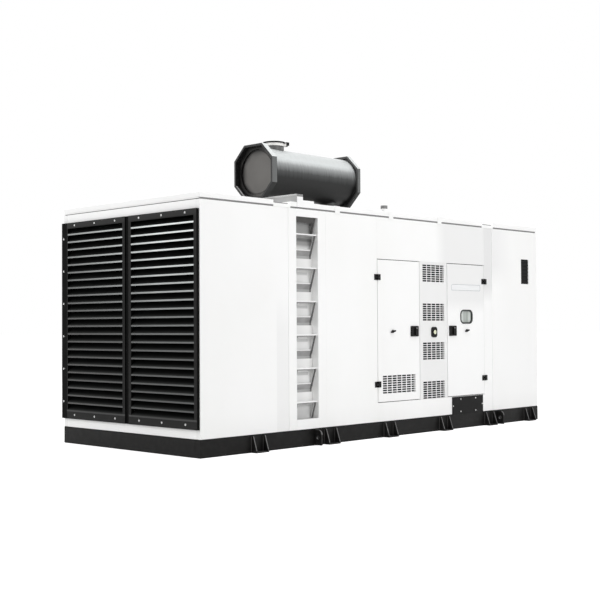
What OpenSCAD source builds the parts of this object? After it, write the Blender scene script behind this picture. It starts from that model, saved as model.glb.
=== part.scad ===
// Diesel generator in a silent canopy, with a roof-mounted muffler.
// Millimetres. +X runs from the louvre end to the control end, -Y is the door side,
// Z = 0 is the floor. The origin is the middle of the base at floor level.

/* [Canopy] */
// Length of the canopy and its base
body_l = 6000; // [5800:10:6600]
// Width of the canopy and its base
body_w = 2300; // [2000:10:2600]
// Height of the walls, from the base to the roof line
wall_h = 2334; // [2300:2:2600]
// Thickness of the lined wall panels
wall_t = 60; // [50:1:80]
// Height of the roof fascia
roof_t = 69; // [55:1:90]
// Height of the shadow gap under the fascia
roof_gap = 18; // [6:1:24]

/* [Base] */
// Height of the base, from the floor to the canopy
base_h = 182; // [150:1:240]
// Thickness of the deck plate
deck_t = 6; // [4:1:10]
// Thickness of the base channels
channel_t = 10; // [6:1:14]
// Width of the channel flanges
flange_w = 80; // [60:1:110]
// Distance of the first foot from the louvre end
first_foot = 763; // [600:1:850]
// Distance of the last foot from the control end
last_foot = 250; // [180:1:400]
// How far the feet stand out of the base
foot_reach = 80; // [60:1:100]
// Width of a foot between the outer faces of its gussets
foot_w = 176; // [140:1:200]
// How far a foot's gussets end below the deck plate
foot_drop = 8; // [4:1:30]
// Thickness of the foot plates
foot_t = 12; // [8:1:16]
// Radius of the anchor bolt hole in a foot
anchor_hole_r = 11; // [8:0.5:14]
// How far the lifting lugs stand out of the base
lug_reach = 100; // [90:1:120]
// How far a lifting lug ends below the deck plate
lug_drop = 7; // [4:1:20]
// Thickness of a lifting lug
lug_t = 20; // [14:1:30]
// Radius of the shackle hole in a lifting lug
lug_hole_r = 22; // [15:0.5:28]

/* [Louvres] */
// Height of the white strip under the louvres
louvre_sill = 93; // [70:1:140]
// Height of the white strip over the louvres
louvre_head = 92; // [70:1:140]
// Distance of the louvres from the side faces
louvre_inset = 10; // [0:1:30]
// How far the louvre frames stand out of the end wall
louvre_proud = 36; // [20:1:45]
// Width of the gap between the two louvres
mullion_gap = 62; // [40:1:90]
// Width of a louvre frame's side members
stile_w = 42; // [28:1:50]
// Width of the strip between the far louvre and its corner
corner_strip_w = 68; // [50:1:80]
// Height of a louvre frame's top member
top_rail_h = 64; // [50:1:90]
// Height of a louvre frame's bottom member
bottom_rail_h = 96; // [70:1:120]
// Distance from one blade to the next
blade_pitch = 84; // [70:1:110]
// Height of a blade's front lip
lip_h = 17; // [10:1:24]
// Thickness of the blade sheet
blade_t = 4; // [3:0.5:6]

/* [Side walls] */
// Distance of the first lifting post from the louvre end
post_1_x = 1043; // [1000:1:1100]
// Distance of the second lifting post from the louvre end
post_2_x = 4768; // [4740:1:4800]
// Width of a lifting post
post_w = 178; // [150:1:200]
// How far a lifting post's face is set back from the wall
post_setback = 4; // [3:1:20]
// Width of the roof notch over a lifting post
notch_w = 250; // [220:1:290]
// Depth of the roof notch over a lifting post
notch_d = 250; // [150:1:300]
// Distance of the ladder recess from the louvre end
ladder_x = 1340; // [1300:1:1360]
// Width of the ladder recess
ladder_w = 332; // [300:1:360]
// Height of the ladder recess above the base
ladder_sill = 106; // [80:1:140]
// Height of the wall over the ladder recess
ladder_head = 81; // [60:1:120]
// Depth of the ladder recess
ladder_d = 92; // [80:1:110]
// Width of the panel strip right of the ladder recess
ladder_strip_w = 124; // [100:1:140]
// Number of steps
step_count = 6; // [5:1:7]
// Distance from the recess floor to the first step
first_step = 185; // [150:1:200]
// Distance from one step to the next
step_pitch = 357; // [300:1:360]
// Thickness of the step plates
step_t = 6; // [4:1:10]
// Height of the sloping frame under a step
kick_h = 233; // [180:1:250]

/* [Doors] */
// Distance of door 1 from the louvre end
door_1_x = 2655; // [2600:1:2700]
// Width of the opening of door 1
door_1_w = 782; // [700:1:800]
// Width of the vent panel between the doors
vent_w = 541; // [500:1:560]
// Height of the doorways above the base
door_sill = 213; // [180:1:260]
// Height of the doorways
door_h = 1643; // [1500:1:1750]
// Thickness of a door leaf
leaf_t = 50; // [40:1:50]
// Clearance round a door leaf
leaf_gap = 8; // [8:0.5:12]
// Width of a hinge across both leaves
hinge_w = 110; // [90:1:120]
// Height of a hinge
hinge_h = 67; // [50:1:80]
// Radius of a hinge's knuckles
knuckle_r = 9; // [8:0.5:12]
// Radius of a hinge pin
pin_r = 4; // [3:0.5:5]
// Distance of a hinge's middle from the end of the doorway
hinge_inset = 210; // [150:1:300]
// Width of a latch
latch_w = 140; // [110:1:150]
// Height of a latch
latch_h = 124; // [100:1:150]
// Height of the latches above the doorway's sill
latch_z = 812; // [700:1:900]
// Width of the window in door 2
window_w = 252; // [200:1:300]
// Height of the window in door 2
window_h = 166; // [140:1:220]
// Height of the window's middle above the doorway's sill
window_z = 985; // [900:1:1050]
// Thickness of the window glass
glass_t = 6; // [4:1:8]

/* [Vents] */
// Width of a slotted field in the vent panel
field_w = 420; // [380:1:440]
// Height of a slotted field
field_h = 204; // [180:1:220]
// Distance from one field to the next
field_pitch = 467; // [440:1:470]
// Height of the lowest field's middle above the doorway's sill
field_z = 105; // [104:1:120]
// Width of the slotted field in door 1
door_field_w = 600; // [500:1:620]
// Thickness of the sheet that the slots are cut in
sheet_t = 4; // [3:0.5:6]
// Height of a slot
slot_h = 18; // [8:1:20]
// Width of the web between slots in a row
slot_web = 12; // [8:1:16]
// Number of slots in a row of the vent panel
slot_columns = 5; // [4:1:6]
// Number of rows of slots in a field
slot_rows = 8; // [6:1:9]

/* [Roof and muffler] */
// Distance of the roof curb from the louvre end
curb_x = 1355; // [1340:1:1380]
// Thickness of the roof curb
curb_t = 91; // [70:1:110]
// Height of the curb above the roof
curb_h = 87; // [60:1:120]
// Width of the step behind the curb
curb_step_w = 170; // [120:1:200]
// Height of the step behind the curb
curb_step_h = 26; // [15:1:40]
// Distance of the first roof seam from the louvre end
seam_x = 1987; // [1940:1:1995]
// Distance from one roof seam to the next
seam_pitch = 925; // [900:1:930]
// Width of the roof seam strips
seam_w = 80; // [60:1:100]
// Thickness of the roof seam strips
seam_t = 4; // [3:0.5:6]
// Distance of the muffler's near end from the louvre end
muffler_x = 1807; // [1700:1:1900]
// Length of the muffler over its end frames
muffler_l = 1529; // [1400:1:1600]
// Radius of the muffler drum
drum_r = 292; // [270:1:300]
// Height of the muffler's axis above the roof
muffler_z = 482; // [440:1:540]
// Half the width of an end frame
frame_half = 320; // [310:1:340]
// Chamfer at the corners of an end frame
frame_chamfer = 172; // [150:1:190]
// Width of an end frame's rim
frame_rim = 26; // [20:1:28]
// Depth of the near end frame
near_frame_d = 77; // [60:1:90]
// Depth of the far end frame
far_frame_d = 50; // [40:1:70]
// Radius of the round plates on the drum's ends
end_plate_r = 245; // [210:1:260]
// Distance of the outlet's axis from the muffler's near end
outlet_x = 345; // [320:1:450]
// Radius of the outlet pipe
outlet_r = 118; // [90:1:125]
// Height of the outlet pipe above the drum
outlet_h = 72; // [60:1:120]
// Radius of the inlet pipe
inlet_r = 110; // [80:1:115]
// Distance of the inlet's axis from the muffler's far end
inlet_x = 235; // [225:1:245]
// Distance of the roof breather from the louvre end
breather_x = 4174; // [4100:1:4250]
// Height of the roof breather above the roof
breather_h = 262; // [200:1:300]

/* [Hidden] */
$fn = 64;

touch = 0.3;            // gap between pieces of different bodies that rest on each other
white = [0.95, 0.95, 0.94];
black = [0.09, 0.09, 0.09];
wall_top = base_h + wall_h;
roof_top = wall_top + roof_t;
door_z = base_h + door_sill;
door_top = door_z + door_h;
vent_x = door_1_x + door_1_w;
door_2_x = vent_x + vent_w;
door_2_w = post_2_x - door_2_x;

// A frame with X = 0 at the louvre end, Y = 0 at the near face and +Y inwards
module near() translate([-body_l / 2, -body_w / 2, 0]) children();
module far() mirror([0, 1, 0]) near() children();
module both_sides() {
    near() children();
    far() children();
}
// A slab of wall between two distances from the louvre end and two heights
module slab(x0, x1, z0, z1, t = wall_t) translate([x0, 0, z0]) cube([x1 - x0, t, z1 - z0]);
// Extrudes an outline given in (Y, Z) along +X, or one given in (X, Z) along +Y
module along_x(l) rotate([90, 0, 90]) linear_extrude(l) children();
module along_y(l) translate([0, l, 0]) rotate([90, 0, 0]) linear_extrude(l) children();

// Rectangle about the origin with round corners
module rounded(w, h, r) {
    square([w - 2 * r, h], center = true);
    square([w, h - 2 * r], center = true);
    for (x = [r - w / 2, w / 2 - r], z = [r - h / 2, h / 2 - r]) translate([x, z]) circle(r = r);
}

// ---------------------------------------------------------------- base
rail_top = base_h - deck_t;

// Channel with its web at Y = 0, its flanges pointing to +Y and closed ends
module channel(l) difference() {
    cube([l, flange_w, rail_top]);
    translate([channel_t, channel_t, channel_t])
        cube([l - 2 * channel_t, flange_w, rail_top - 2 * channel_t]);
}
module base_rails() color(black) both_sides() channel(body_l);
module base_end_beams() color(black) for (side = [0, 180]) rotate([0, 0, side])
    translate([-body_l / 2, body_w / 2 - flange_w, 0]) rotate([0, 0, -90])
        channel(body_w - 2 * flange_w);
module deck_plate() color(black)
    translate([-body_l / 2, -body_w / 2, rail_top]) cube([body_l, body_w, deck_t]);

// Feet stand between the first and the last one at these shares of the way
foot_shares = [0, 0.217, 0.4175, 0.6275, 0.818, 1];
foot_span = body_l - first_foot - last_foot;
foot_h = rail_top - foot_drop;
function foot_x(i) = first_foot + foot_shares[i] * foot_span;

gusset_top = 26;        // depth of a gusset at its top
module foot() {
    difference() {
        translate([-foot_w / 2, -foot_reach, 0]) cube([foot_w, foot_reach, foot_t]);
        translate([0, -foot_reach / 2, -1]) cylinder(r = anchor_hole_r, h = foot_t + 2);
    }
    for (x = [-foot_w / 2, foot_w / 2 - foot_t]) translate([x, 0, 0]) along_x(foot_t)
        polygon([[0, foot_t], [-foot_reach + 5, foot_t], [-foot_reach + 5, foot_t + 12],
            [-gusset_top, foot_h], [0, foot_h]]);
}
module anchor_feet() color(black) both_sides() for (i = [0 : 5]) translate([foot_x(i), 0, 0]) foot();

lug_1_x = foot_x(1) - 232;
lug_2_x = post_2_x + post_w + 92;
lug_z = 5;
lug_h = rail_top - lug_drop - lug_z;
module lug() translate([-lug_t / 2, 0, 0]) along_x(lug_t) difference() {
    union() {
        translate([-lug_reach, 0]) square([lug_reach, lug_h - lug_reach / 2]);
        translate([-lug_reach / 2, 0]) square([lug_reach / 2, lug_h]);
        translate([-lug_reach / 2, lug_h - lug_reach / 2]) circle(r = lug_reach / 2);
    }
    translate([-lug_reach / 2, lug_h / 2]) circle(r = lug_hole_r);
}
module lifting_lugs() color(black) both_sides() for (x = [lug_1_x, lug_2_x])
    translate([x, 0, lug_z]) lug();

cover_inset = 84;
cover_lap = 10;
module cable_entry_cover() color(black) near()
    translate([door_2_x + cover_inset, -5, base_h - cover_lap])
        cube([door_2_w - cover_inset - 51, 5, door_sill + cover_lap - 3]);

// ---------------------------------------------------------------- louvre ends
louvre_w = (body_w - 2 * louvre_inset - mullion_gap - corner_strip_w) / 2;
louvre_y = louvre_inset - body_w / 2;
louvre_z = base_h + louvre_sill;
louvre_h = wall_h - louvre_sill - louvre_head;
rear_inset = 24;        // set-back of the rear louvres from the side faces
rear_louvre_w = (body_w - 2 * rear_inset - mullion_gap) / 2;
blade_rise = 78;
blade_run = 80;
frame_lap = 20;         // how far the end wall reaches behind the louvres
mullion_setback = 12;

module blade(l) along_y(l) polygon([
    [0, 0], [blade_t, 0], [blade_t, lip_h - blade_t / 2],
    [blade_run, lip_h + blade_rise - blade_t], [blade_run, lip_h + blade_rise], [0, lip_h]
]);
// Louvre with its front at X = 0, whose top blade ends under the end wall's lap
module louvre(w) {
    opening_h = louvre_h - top_rail_h - bottom_rail_h;
    blade_room = opening_h + top_rail_h - blade_rise - frame_lap;
    difference() {
        cube([louvre_proud, w, louvre_h]);
        translate([-1, stile_w, bottom_rail_h]) cube([louvre_proud + 2, w - 2 * stile_w, opening_h]);
    }
    for (i = [0 : floor(blade_room / blade_pitch)])
        translate([4, stile_w - 2, bottom_rail_h + i * blade_pitch - lip_h]) blade(w - 2 * stile_w + 4);
}
// Two louvres of width w that start at y, and the bar that closes the gap between two louvres
module louvre_pair(y, w) for (i = [0, 1])
    translate([-body_l / 2 - louvre_proud, y + i * (w + mullion_gap), louvre_z]) louvre(w);
module mullion(y) translate([-body_l / 2, y, louvre_z]) {
    translate([mullion_setback - louvre_proud, 0, 0])
        cube([louvre_proud - mullion_setback, mullion_gap, louvre_h]);
    translate([0, -frame_lap, frame_lap])
        cube([wall_t, mullion_gap + 2 * frame_lap, louvre_h - 2 * frame_lap]);
}
module front_louvres() color(black) louvre_pair(louvre_y, louvre_w);
module rear_louvres() color(black) rotate([0, 0, 180])
    louvre_pair(rear_inset - body_w / 2, rear_louvre_w);
// The two bars, and the strip in the far front corner
module louvre_mullions() color(black) {
    mullion(louvre_y + louvre_w);
    rotate([0, 0, 180]) mullion(-mullion_gap / 2);
    translate([-body_l / 2 - louvre_proud, -louvre_y - corner_strip_w, louvre_z])
        cube([louvre_proud, corner_strip_w, louvre_h]);
}
end_inner_w = body_w - 2 * wall_t;
module end_wall_strips() color(white) for (side = [0, 180]) rotate([0, 0, side])
    translate([-body_l / 2, -end_inner_w / 2, 0]) {
        translate([0, 0, base_h]) cube([wall_t, end_inner_w, louvre_sill + frame_lap]);
        translate([0, 0, louvre_z + louvre_h - frame_lap])
            cube([wall_t, end_inner_w, louvre_head + frame_lap]);
    }

// ---------------------------------------------------------------- side walls
// The lining stops short of the louvres, so that their blades have room
lining_stop = 60;
thin_wall_t = 30;
module radiator_side_panels() color(white) both_sides() difference() {
    slab(0, post_1_x, base_h, wall_top);
    translate([-1, thin_wall_t, louvre_z]) cube([lining_stop + 1, wall_t, louvre_h]);
}
module lifting_posts() color(white) both_sides() for (x = [post_1_x, post_2_x])
    translate([x, post_setback, base_h]) cube([post_w, wall_t - post_setback, wall_h]);

ladder_z = base_h + ladder_sill;
ladder_top = wall_top - ladder_head;
ladder_end = ladder_x + ladder_w;
strip_end = ladder_end + ladder_strip_w;
pan_t = 4;
module ladder_jambs() color(white) both_sides() {
    slab(post_1_x + post_w, ladder_x, base_h, wall_top, ladder_d);
    slab(ladder_end, strip_end, base_h, wall_top, ladder_d);
}
// Header, back and floor of the ladder recess in one folded pan
module ladder_pans() color(white) both_sides() translate([ladder_x, 0, 0]) along_x(ladder_w)
    polygon([
        [0, base_h], [ladder_d + pan_t, base_h], [ladder_d + pan_t, wall_top], [0, wall_top],
        [0, ladder_top], [ladder_d, ladder_top], [ladder_d, ladder_z], [0, ladder_z]
    ]);
step_front = 18;
step_lip = 14;          // height of the tread's folded front edge
kick_gap = 14;
kick_post_w = 28;
kick_band_h = 70;
// A tread across the recess, with an open frame under it that leans back to the pan
module step(band_h) {
    slope = kick_h / (ladder_d - step_front);
    along_x(ladder_w) translate([step_front, -step_t]) square([ladder_d - step_front, step_t]);
    along_x(ladder_w) translate([step_front, -step_lip]) square([step_t, step_lip]);
    difference() {
        translate([kick_gap, 0, 0]) along_x(ladder_w - 2 * kick_gap) polygon([
            [step_front, 0], [step_front + step_t, 0],
            [ladder_d, slope * step_t - kick_h], [ladder_d, -kick_h]
        ]);
        translate([kick_gap + kick_post_w, 0, band_h - kick_h])
            cube([ladder_w - 2 * (kick_gap + kick_post_w), ladder_d, kick_h - band_h - 2 * step_lip]);
    }
}
// The lowest frame ends at the floor of the recess and has no band at its foot
module ladder_steps() color(white) both_sides() translate([ladder_x, 0, ladder_z]) difference() {
    for (i = [0 : step_count - 1]) translate([0, 0, first_step + i * step_pitch])
        step(i == 0 ? -1 : kick_band_h);
    translate([-1, 0, -kick_h]) cube([ladder_w + 2, ladder_d + 1, kick_h]);
}

module middle_side_panels() color(white) both_sides() slab(strip_end, door_1_x, base_h, wall_top);
module door_headers() color(white) both_sides() slab(door_1_x, post_2_x, door_top, wall_top);
module door_sills() color(white) both_sides() slab(door_1_x, post_2_x, base_h, door_z);

// Rows of slots over a field whose middle is at the origin, cut along Y
module slots(w, columns) {
    slot_w = (w - (columns - 1) * slot_web) / columns;
    row_pitch = (field_h - slot_h) / (slot_rows - 1);
    for (c = [0 : columns - 1], r = [0 : slot_rows - 1])
        translate([c * (slot_w + slot_web) - w / 2, -1, r * row_pitch - field_h / 2])
            cube([slot_w, sheet_t + 2, slot_h]);
}
// Pocket behind a field, which leaves the slotted sheet
module field_pocket(w) translate([-w / 2, sheet_t, -field_h / 2]) cube([w, wall_t, field_h]);

module vent_panels() color(white) both_sides() difference() {
    slab(vent_x, door_2_x, door_z, door_top);
    for (i = [0 : 3]) translate([(vent_x + door_2_x) / 2, 0, door_z + field_z + i * field_pitch]) {
        slots(field_w, slot_columns);
        field_pocket(field_w);
    }
}
grille_w = 180;
grille_x = body_l - 193 - grille_w;
grille_z = 1638;
grille_h = 328;
module control_side_panels() color(white) both_sides() difference() {
    slab(post_2_x + post_w, body_l, base_h, wall_top);
    translate([body_l - lining_stop, thin_wall_t, louvre_z]) cube([lining_stop + 1, wall_t, louvre_h]);
    translate([grille_x, -1, base_h + grille_z]) cube([grille_w, wall_t + 2, grille_h]);
}
module control_panel_grilles() color(black) both_sides()
    translate([grille_x, 12, base_h + grille_z]) cube([grille_w, 20, grille_h]);

// ---------------------------------------------------------------- doors
hinge_plate_t = 5;
pin_play = 0.05;         // radial clearance of a pin in its knuckle
axis_y = -(knuckle_r + 2);
leaf_z = door_z + leaf_gap;
leaf_h = door_h - 2 * leaf_gap;
hinge_zs = [door_z + hinge_inset, door_top - hinge_inset];
door_1_axis = door_1_x + leaf_gap / 2;
door_2_axis = post_2_x - leaf_gap / 2;

module leaf(x, w) translate([x + leaf_gap, 0, leaf_z]) cube([w - 2 * leaf_gap, leaf_t, leaf_h]);
module door_1_leaf() color(white) near() difference() {
    leaf(door_1_x, door_1_w);
    translate([door_1_x + door_1_w / 2, 0, door_z + field_z + 98]) {
        slots(door_field_w, slot_columns + 2);
        field_pocket(door_field_w);
    }
}
window_x = door_2_x + 402;
window_corner = 60;
// Outline of the window, which grows on all sides by grow
module window_outline(grow)
    rounded(window_w + 2 * grow, window_h + 2 * grow, window_corner + grow);
module door_2_leaf() color(white) near() difference() {
    leaf(door_2_x, door_2_w);
    translate([window_x, -1, door_z + window_z]) along_y(leaf_t + 2) window_outline(0);
}
seal_w = 14;
seal_lap = 5;
seal_proud = 5;
seal_fit = 0.3;         // gap round the seal and the glass in the leaf
glass_y = 14;           // depth of the glass behind the door's face
module window_frame() color(black) near() translate([window_x, -seal_proud, door_z + window_z]) {
    along_y(seal_proud) difference() {
        window_outline(seal_lap);
        window_outline(-seal_w);
    }
    translate([0, seal_proud, 0]) along_y(glass_y) difference() {
        window_outline(-seal_fit);
        window_outline(-seal_w);
    }
}
module window_glass() color([0.65, 0.85, 0.7, 0.5]) near()
    translate([window_x, glass_y, door_z + window_z]) along_y(glass_t)
        window_outline(-seal_fit);
plate_inset = 85;
plate_h = 88;
plate_t = 3;
module name_plate() color([0.8, 0.8, 0.8]) near()
    translate([door_2_x + plate_inset, -plate_t, door_top - 339])
        cube([door_2_w - 2 * plate_inset, plate_t, plate_h]);

knuckle_h = (hinge_h - 2) / 3;
module knuckle(z) translate([0, 0, z - knuckle_h / 2]) {
    translate([0, axis_y, 0]) cylinder(r = knuckle_r, h = knuckle_h);
    translate([0, axis_y, 0]) cube([knuckle_r + 4, -axis_y, knuckle_h]);
}
// Half of a hinge: a plate from its axis towards +X, with knuckles at the given heights.
// The plate seats on a face that is set back from the wall by seat.
module hinge_half(zs, seat = 0) {
    translate([knuckle_r + 2, -hinge_plate_t, -hinge_h / 2])
        cube([hinge_w / 2 - knuckle_r - 2, hinge_plate_t + seat, hinge_h]);
    for (z = zs) knuckle(z);
}
module fixed_half(seat = 0) {
    hinge_half([-knuckle_h - 1, knuckle_h + 1], seat);
    translate([0, axis_y, -hinge_h / 2]) cylinder(r = pin_r, h = hinge_h);
}
module moving_half() difference() {
    hinge_half([0]);
    translate([0, axis_y, -hinge_h]) cylinder(r = pin_r + pin_play, h = 2 * hinge_h);
}
module door_1_hinge_straps() color(black) near() for (z = hinge_zs)
    translate([door_1_axis, 0, z]) moving_half();
module door_2_hinge_straps() color(black) near() for (z = hinge_zs)
    translate([door_2_axis, 0, z]) mirror([1, 0, 0]) moving_half();
module hinge_brackets() color(black) near() for (z = hinge_zs) {
    translate([door_1_axis, 0, z]) mirror([1, 0, 0]) fixed_half();
    translate([door_2_axis, 0, z]) fixed_half(post_setback);
}
latch_inset = 38;
latch_t = 14;
latch_rim = 16;
cup_d = 10;
paddle_w = 46;
// Flush latch: a plate with a cup, a sloping paddle in the cup and a lock beside it
module latch() {
    translate([0, -latch_t, 0]) difference() {
        along_y(latch_t) rounded(latch_w, latch_h, 10);
        translate([0, -1, 0]) along_y(cup_d + 1)
            rounded(latch_w - 2 * latch_rim, latch_h - 2 * latch_rim, 8);
    }
    translate([latch_w / 2 - latch_rim - paddle_w, 0, 0]) along_x(paddle_w) polygon([
        [cup_d - latch_t, latch_rim - latch_h / 2], [cup_d - latch_t, latch_h / 2 - latch_rim],
        [-latch_t, latch_h / 2 - latch_rim], [-latch_t - 8, latch_rim + 8 - latch_h / 2],
        [-latch_t - 8, latch_rim - latch_h / 2]
    ]);
    translate([latch_rim + 12 - latch_w / 2, 0, latch_h / 4]) rotate([90, 0, 0])
        cylinder(r = 10, h = latch_t + 2);
}
knob_w = 70;
knob_h = 35;
knob_tilt = 15;
// Quarter-turn fastener: a round rosette under a wing
module knob() {
    rotate([90, 0, 0]) cylinder(r = knob_h / 2, h = 10);
    rotate([0, -knob_tilt, 0]) translate([0, -25, 0]) along_y(25) rounded(knob_w, knob_h / 2, 8);
}
latch_1_x = vent_x - latch_inset - latch_w / 2;
latch_2_x = door_2_x + latch_inset + latch_w / 2;
knob_1_x = door_1_x + 272;
module door_1_latch() color(black) near() {
    translate([latch_1_x, 0, door_z + latch_z]) latch();
    translate([knob_1_x, 0, door_z + latch_z]) knob();
}
module door_2_latch() color(black) near() {
    translate([latch_2_x, 0, door_z + latch_z]) latch();
    translate([window_x, 0, door_z + latch_z]) knob();
}
module far_doors() color(white) far() {
    leaf(door_1_x, door_1_w);
    leaf(door_2_x, door_2_w);
}
// The far doors stay shut, so each of their hinges is one piece
module closed_hinge(seat = 0) {
    mirror([1, 0, 0]) fixed_half(seat);
    hinge_half([0]);
}
module far_door_hardware() color(black) far() {
    for (z = hinge_zs) {
        translate([door_1_axis, 0, z]) closed_hinge();
        translate([door_2_axis, 0, z]) mirror([1, 0, 0]) closed_hinge(post_setback);
    }
    translate([latch_1_x, 0, door_z + latch_z]) latch();
    translate([latch_2_x, 0, door_z + latch_z]) latch();
    translate([knob_1_x, 0, door_z + latch_z]) knob();
    translate([window_x, 0, door_z + latch_z]) knob();
}
button_w = 104;
button_h = 124;
button_t = 14;
button_r = 24;
// Stop button: a moulded surround with a low collar and a flat head
module stop_button() color(black) near()
    translate([(vent_x + door_2_x) / 2, 0, door_z + latch_z - 14]) {
        translate([0, -button_t, 0]) along_y(button_t) rounded(button_w, button_h, 30);
        rotate([90, 0, 0]) rotate_extrude() translate([0, button_t]) polygon([
            [0, -1], [button_r + 12, -1], [button_r + 9, 4], [button_r + 3, 4], [button_r + 3, 1],
            [button_r, 1], [button_r, 9], [button_r - 6, 12], [0, 12]
        ]);
    }

// ---------------------------------------------------------------- roof
flange_r = inlet_r + 25;
stand_w = 2 * (frame_half - frame_chamfer);
module at_inlet() translate([muffler_x + muffler_l - inlet_x - body_l / 2, 0, roof_top]) children();
roof_cut = 20;          // set-back of the neck under the fascia
roof_joint = 4;         // gap between roof panels
curb_end = curb_x + curb_t + curb_step_w;
seams = [for (i = [0 : 2]) seam_x + i * seam_pitch];
panel_starts = [0, curb_end, for (x = seams) x + roof_joint / 2];
panel_ends = [curb_x, for (x = seams) x - roof_joint / 2, body_l];
notch_floor = 38;       // height of a notch's floor above the walls
module at_notches() both_sides() for (x = [post_1_x, post_2_x])
    translate([x + post_w / 2 - notch_w / 2, 0, wall_top]) children();
module roof_panels() color(white) difference() {
    union() {
        for (i = [0 : len(panel_starts) - 1])
            translate([panel_starts[i] - body_l / 2, 0, wall_top]) {
                l = panel_ends[i] - panel_starts[i];
                cut_0 = i == 0 ? roof_cut : 0;
                cut_1 = i == len(panel_starts) - 1 ? roof_cut : 0;
                translate([0, -body_w / 2, roof_gap]) cube([l, body_w, roof_t - roof_gap]);
                translate([cut_0, roof_cut - body_w / 2, 0])
                    cube([l - cut_0 - cut_1, body_w - 2 * roof_cut, roof_gap + 1]);
            }
        at_notches() cube([notch_w, notch_d, notch_floor]);
    }
    at_notches() translate([0, -1, notch_floor]) cube([notch_w, notch_d + 1, roof_t]);
}
strip_lap = 16;         // how far the seam strips reach down the walls
// The strips are cut round the inlet's flange and the muffler's stands
strip_clearance = 10;
module roof_seam_strips() color(white) difference() {
    for (x = seams) translate([x - seam_w / 2 - body_l / 2, 0, 0]) along_x(seam_w) difference() {
        translate([-body_w / 2 - seam_t, wall_top - strip_lap])
            square([body_w + 2 * seam_t, roof_t + strip_lap + seam_t]);
        translate([-body_w / 2, wall_top - strip_lap - 1]) square([body_w, roof_t + strip_lap + 1]);
    }
    at_inlet() cylinder(r = flange_r + strip_clearance, h = 2 * seam_t);
    for (x = [muffler_x, muffler_x + muffler_l - far_frame_d])
        translate([x - strip_clearance - body_l / 2, -stand_w / 2 - strip_clearance, roof_top])
            cube([near_frame_d + 2 * strip_clearance, stand_w + 2 * strip_clearance, 2 * seam_t]);
}
curb_lip = 8;           // overhang of the lip along the curb's top edge
module roof_curb() color(white) difference() {
    translate([curb_x - body_l / 2, -body_w / 2, wall_top]) along_y(body_w) polygon([
        [0, 0], [curb_end - curb_x, 0], [curb_end - curb_x, roof_t + curb_step_h],
        [curb_t, roof_t + curb_step_h], [curb_t, roof_t + curb_h], [-curb_lip, roof_t + curb_h],
        [-curb_lip, roof_t + curb_h - 12], [0, roof_t + curb_h - 12]
    ]);
    both_sides() translate([curb_x - 1, -1, wall_top - 1])
        cube([curb_end - curb_x + 2, roof_cut + 1, roof_gap + 1]);
}
module roof_breather() color(white) translate([breather_x - body_l / 2, 0, roof_top]) {
    cylinder(r = 55, h = 10);
    cylinder(r = 30, h = breather_h - 30);
    translate([0, 0, breather_h - 40]) cylinder(r = 45, h = 40);
}

// ---------------------------------------------------------------- muffler
steel = [0.45, 0.46, 0.46];
axis_z = roof_top + muffler_z;
module on_muffler() translate([muffler_x - body_l / 2, 0, axis_z]) children();
module octagon(half, chamfer) polygon([
    [-half, chamfer - half], [chamfer - half, -half], [half - chamfer, -half], [half, chamfer - half],
    [half, half - chamfer], [half - chamfer, half], [chamfer - half, half], [-half, half - chamfer]
]);
// The rim keeps its width round the corners of the octagon
rim_chamfer = frame_chamfer - frame_rim * (2 - sqrt(2));
module end_frame(d) along_x(d) difference() {
    octagon(frame_half, frame_chamfer);
    octagon(frame_half - frame_rim, rim_chamfer);
}
module muffler_end_frames() color(steel) on_muffler() {
    end_frame(near_frame_d);
    translate([muffler_l - far_frame_d, 0, 0]) end_frame(far_frame_d);
}
drum_start = near_frame_d - 12;
drum_end = muffler_l - 12;
plate_recess = 24;      // depth of the recess that holds an end plate
recess_r = (end_plate_r + drum_r) / 2;
disc_t = 8;
module disc(x, r, t) translate([x, 0, 0]) rotate([0, 90, 0]) cylinder(r = r, h = t);
module muffler_drum() color(steel) on_muffler() difference() {
    union() {
        disc(drum_start, drum_r, drum_end - drum_start);
        for (x = [drum_start, drum_end - 8]) translate([x, 0, 0])
            along_x(6) octagon(frame_half - frame_rim, rim_chamfer);
    }
    for (x = [drum_start - 1, drum_end - plate_recess]) disc(x, recess_r, plate_recess + 1);
}
module muffler_end_plates() color([0.5, 0.48, 0.45]) on_muffler()
    for (x = [drum_start + plate_recess - disc_t, drum_end - plate_recess])
        disc(x, end_plate_r, disc_t);
stand_h = muffler_z - frame_half;
module stand(d) {
    cube([d, stand_w, 8]);
    translate([0, 0, stand_h - 8]) cube([d, stand_w, 8]);
    for (y = [0, stand_w - 8]) translate([0, y, 0]) cube([d, 8, stand_h]);
}
module muffler_stands() color(steel) translate([muffler_x - body_l / 2, -stand_w / 2, roof_top]) {
    stand(near_frame_d);
    translate([muffler_l - far_frame_d, 0, 0]) stand(far_frame_d);
}
module muffler_inlet() color(steel) at_inlet() difference() {
    union() {
        cylinder(r = inlet_r, h = muffler_z);
        cylinder(r = flange_r, h = 12);
        translate([0, 0, muffler_z / 5]) cylinder(r = flange_r, h = 24);
    }
    translate([-2 * inlet_r, 0, muffler_z]) rotate([0, 90, 0]) cylinder(r = drum_r, h = 4 * inlet_r);
}
outlet_top = drum_r + outlet_h;
band_h = 36;
flap_lap = 12;          // how far the flap reaches past the outlet pipe
flap_t = 14;
flap_rise = 8;
cap_pin_x = outlet_r + 36;
cap_pin_z = outlet_top + 8;
ear_t = 6;
arm_w = 16;
weight_end = 26;        // reach of the counterweight beyond the pin
cap_turn = -45;         // the flap's arm points between the door side and the control end
module at_outlet() on_muffler() translate([outlet_x, 0, 0]) rotate([0, 0, cap_turn]) children();
module cap_pin(r, l) translate([cap_pin_x, -l / 2, cap_pin_z]) rotate([-90, 0, 0]) cylinder(r = r, h = l);
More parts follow.
